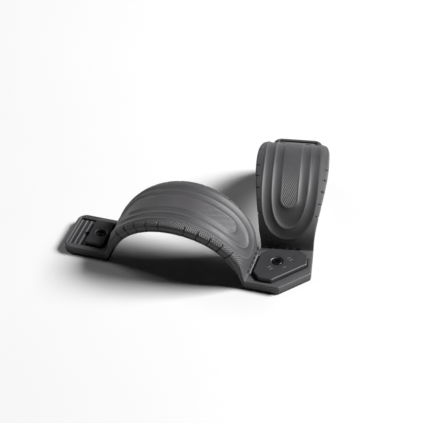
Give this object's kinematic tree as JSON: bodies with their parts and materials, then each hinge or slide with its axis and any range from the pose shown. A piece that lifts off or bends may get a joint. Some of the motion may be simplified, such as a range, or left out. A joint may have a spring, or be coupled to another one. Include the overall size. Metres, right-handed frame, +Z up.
{
  "type": "double front foot strap for a kiteboard",
  "caption": "V-shaped double foot strap: arched padded straps from a shared centre pad, with sliding clamp plates on the end pads.",
  "frame": {"origin": "axis of the centre screw at the level of the board's deck, where the pads' undersides lie", "axes": "+Z up from the deck, X across the V (X = 0 is the mirror plane), the nose points to -Y and the straps run apart towards +Y"},
  "size_m": [0.334, 0.2126, 0.0852],
  "materials": {
    "eva_foam": "matte",
    "lining_foam": "matte",
    "core_sheet": "matte",
    "grip_rubber": "matte",
    "clamp_plastic": "satin",
    "rack_plastic": "satin",
    "black_steel": "satin"
  },
  "bodies": {
    "centre": {"centre_sole": "grip_rubber", "centre_core": "core_sheet", "centre_cover": "eva_foam", "centre_bed": "grip_rubber", "centre_plate": "clamp_plastic", "centre_cup_washer": "black_steel"},
    "centre_screw": {"centre_screw": "black_steel"},
    "right_strap": {"right_strap_cover": "eva_foam", "right_strap_core": "core_sheet", "right_strap_lining": "lining_foam"},
    "right_end": {"right_end_sole": "grip_rubber", "right_end_core": "core_sheet", "right_end_cover": "eva_foam", "right_end_rack": "rack_plastic"},
    "right_plate": {"right_end_plate": "clamp_plastic", "right_end_cup_washer": "black_steel"},
    "right_screw": {"right_end_screw": "black_steel"},
    "left_strap": {"left_strap_cover": "eva_foam", "left_strap_core": "core_sheet", "left_strap_lining": "lining_foam"},
    "left_end": {"left_end_sole": "grip_rubber", "left_end_core": "core_sheet", "left_end_cover": "eva_foam", "left_end_rack": "rack_plastic"},
    "left_plate": {"left_end_plate": "clamp_plastic", "left_end_cup_washer": "black_steel"},
    "left_screw": {"left_end_screw": "black_steel"}
  },
  "joints": [
    {"name": "centre_screw_turn", "type": "hinge", "parent": "centre", "child": "centre_screw", "pos_m": [0, 0, 0], "axis": [0, 0, 1], "continuous": true},
    {"name": "right_strap_fold", "type": "hinge", "parent": "centre", "child": "right_strap", "pos_m": [0.02291, 0.01641, 0.0095], "axis": [0.766, -0.6428, 0], "range_deg": [0, 10], "stiffness_Nm_per_rad": 0.4},
    {"name": "right_end_fold", "type": "hinge", "parent": "right_strap", "child": "right_end", "pos_m": [0.11624, 0.12764, 0.0095], "axis": [0.766, -0.6428, 0], "range_deg": [0, 20], "stiffness_Nm_per_rad": 0.2},
    {"name": "right_plate_slide", "type": "slide", "parent": "right_end", "child": "right_plate", "axis": [0.6428, 0.766, 0], "range_m": [0, 0.015]},
    {"name": "right_screw_turn", "type": "hinge", "parent": "right_plate", "child": "right_screw", "pos_m": [0.12762, 0.1412, 0], "axis": [0, 0, 1], "continuous": true},
    {"name": "left_strap_fold", "type": "hinge", "parent": "centre", "child": "left_strap", "pos_m": [-0.02291, 0.01641, 0.0095], "axis": [0.766, 0.6428, 0], "range_deg": [0, 10], "stiffness_Nm_per_rad": 0.4},
    {"name": "left_end_fold", "type": "hinge", "parent": "left_strap", "child": "left_end", "pos_m": [-0.11624, 0.12764, 0.0095], "axis": [0.766, 0.6428, 0], "range_deg": [0, 20], "stiffness_Nm_per_rad": 0.2},
    {"name": "left_plate_slide", "type": "slide", "parent": "left_end", "child": "left_plate", "axis": [-0.6428, 0.766, 0], "range_m": [0, 0.015]},
    {"name": "left_screw_turn", "type": "hinge", "parent": "left_plate", "child": "left_screw", "pos_m": [-0.12762, 0.1412, 0], "axis": [0, 0, 1], "continuous": true}
  ]
}
